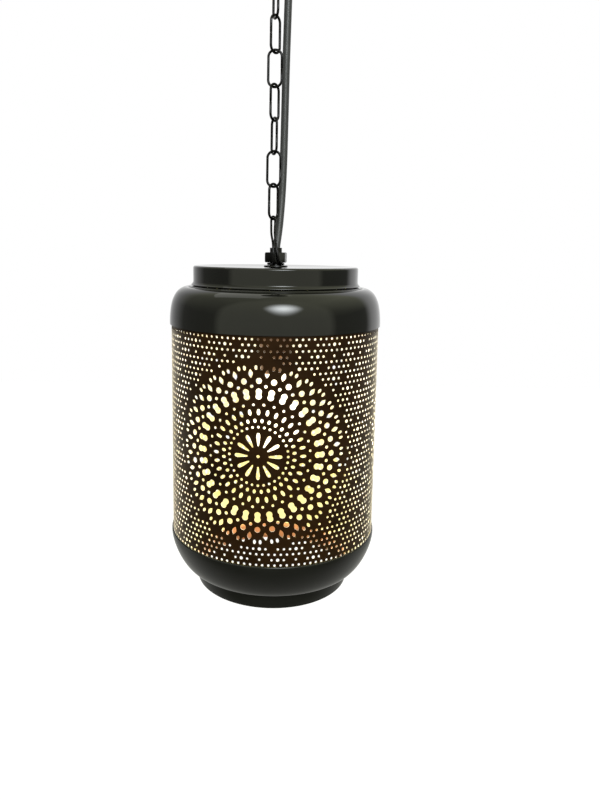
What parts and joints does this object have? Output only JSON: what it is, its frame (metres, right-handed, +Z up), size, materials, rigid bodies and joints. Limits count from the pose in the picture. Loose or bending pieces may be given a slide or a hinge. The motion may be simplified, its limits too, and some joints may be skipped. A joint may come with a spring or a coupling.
{
  "type": "hanging lantern",
  "caption": "Round metal pendant lantern with a pierced drum, black spun caps and an open foot, hung by chain and cord from a ceiling canopy.",
  "frame": {"origin": "on the bracket's upper face, where it meets the ceiling, above the lantern's axis", "axes": "+Z up along the lantern's axis, -Y towards the front figure and the camera, +X to the right"},
  "size_m": [0.2028, 0.2028, 0.6247],
  "materials": {
    "enamel": "glossy black enamel",
    "drum_metal": "dark brown-black outside, gold paint inside",
    "dark_steel": "blackened steel wire",
    "zinc": "zinc plated",
    "brass": "plain",
    "black_plastic": "moulded",
    "cord_rubber": "satin sheath",
    "ceramic": "glazed",
    "bulb_glass": "frosted, lit"
  },
  "bodies": {
    "canopy": {"canopy_bracket": "zinc", "ceiling_canopy": "enamel", "canopy_hook": "dark_steel", "canopy_nut": "dark_steel", "cord_bushing": "black_plastic", "terminal_block": "black_plastic", "power_cord": "cord_rubber"},
    "link_1": {"chain_link_1": "dark_steel"},
    "link_2": {"chain_link_2": "dark_steel"},
    "link_3": {"chain_link_3": "dark_steel"},
    "link_4": {"chain_link_4": "dark_steel"},
    "link_5": {"chain_link_5": "dark_steel"},
    "link_6": {"chain_link_6": "dark_steel"},
    "link_7": {"chain_link_7": "dark_steel"},
    "lantern": {"hanging_loop": "dark_steel", "gland_washer": "dark_steel", "gland_nut": "dark_steel", "threaded_nipple": "zinc", "inner_washer": "zinc", "inner_lock_nut": "zinc", "top_collar": "enamel", "upper_shoulder": "enamel", "perforated_drum": "drum_metal", "drum_seam_strip": "drum_metal", "lower_cap": "enamel", "foot_ring": "enamel", "holder_cap": "black_plastic", "holder_body": "black_plastic", "holder_ring": "black_plastic", "holder_core": "ceramic", "centre_contact": "brass", "thread_shell": "brass"},
    "bulb": {"bulb_glass": "bulb_glass", "bulb_screw_cap": "zinc", "bulb_tip": "zinc"}
  },
  "joints": [
    {"name": "hook_swing", "type": "hinge", "parent": "canopy", "child": "link_1", "pos_m": [-0.003, 0, -0.0584], "axis": [1, 0, 0], "range_deg": [-15, 15], "deforming": ["power_cord"]},
    {"name": "link_2_follow", "type": "hinge", "parent": "link_1", "child": "link_2", "pos_m": [-0.003, 0, -0.0885], "axis": [0, 1, 0], "range_deg": [-7.5, 7.5]},
    {"name": "upper_swing", "type": "hinge", "parent": "link_1", "child": "link_3", "pos_m": [-0.003, 0, -0.10355], "axis": [0, 1, 0], "range_deg": [-15, 15]},
    {"name": "link_4_follow", "type": "hinge", "parent": "link_3", "child": "link_4", "pos_m": [-0.003, 0, -0.1487], "axis": [1, 0, 0], "range_deg": [-7.5, 7.5]},
    {"name": "middle_swing", "type": "hinge", "parent": "link_3", "child": "link_5", "pos_m": [-0.003, 0, -0.16375], "axis": [1, 0, 0], "range_deg": [-15, 15]},
    {"name": "link_6_follow", "type": "hinge", "parent": "link_5", "child": "link_6", "pos_m": [-0.003, 0, -0.2089], "axis": [0, 1, 0], "range_deg": [-7.5, 7.5]},
    {"name": "lower_swing", "type": "hinge", "parent": "link_5", "child": "link_7", "pos_m": [-0.003, 0, -0.22395], "axis": [0, 1, 0], "range_deg": [-15, 15]},
    {"name": "lantern_swing", "type": "hinge", "parent": "link_7", "child": "lantern", "pos_m": [-0.003, 0, -0.2691], "axis": [1, 0, 0], "range_deg": [-15, 15]},
    {"name": "bulb_turn", "type": "hinge", "parent": "lantern", "child": "bulb", "pos_m": [0, 0, -0.395], "axis": [0, 0, 1], "continuous": true}
  ],
  "couplings": [
    {"joint": "link_2_follow", "follows": "upper_swing", "ratio": 0.5},
    {"joint": "link_4_follow", "follows": "middle_swing", "ratio": 0.5},
    {"joint": "link_6_follow", "follows": "lower_swing", "ratio": 0.5}
  ]
}
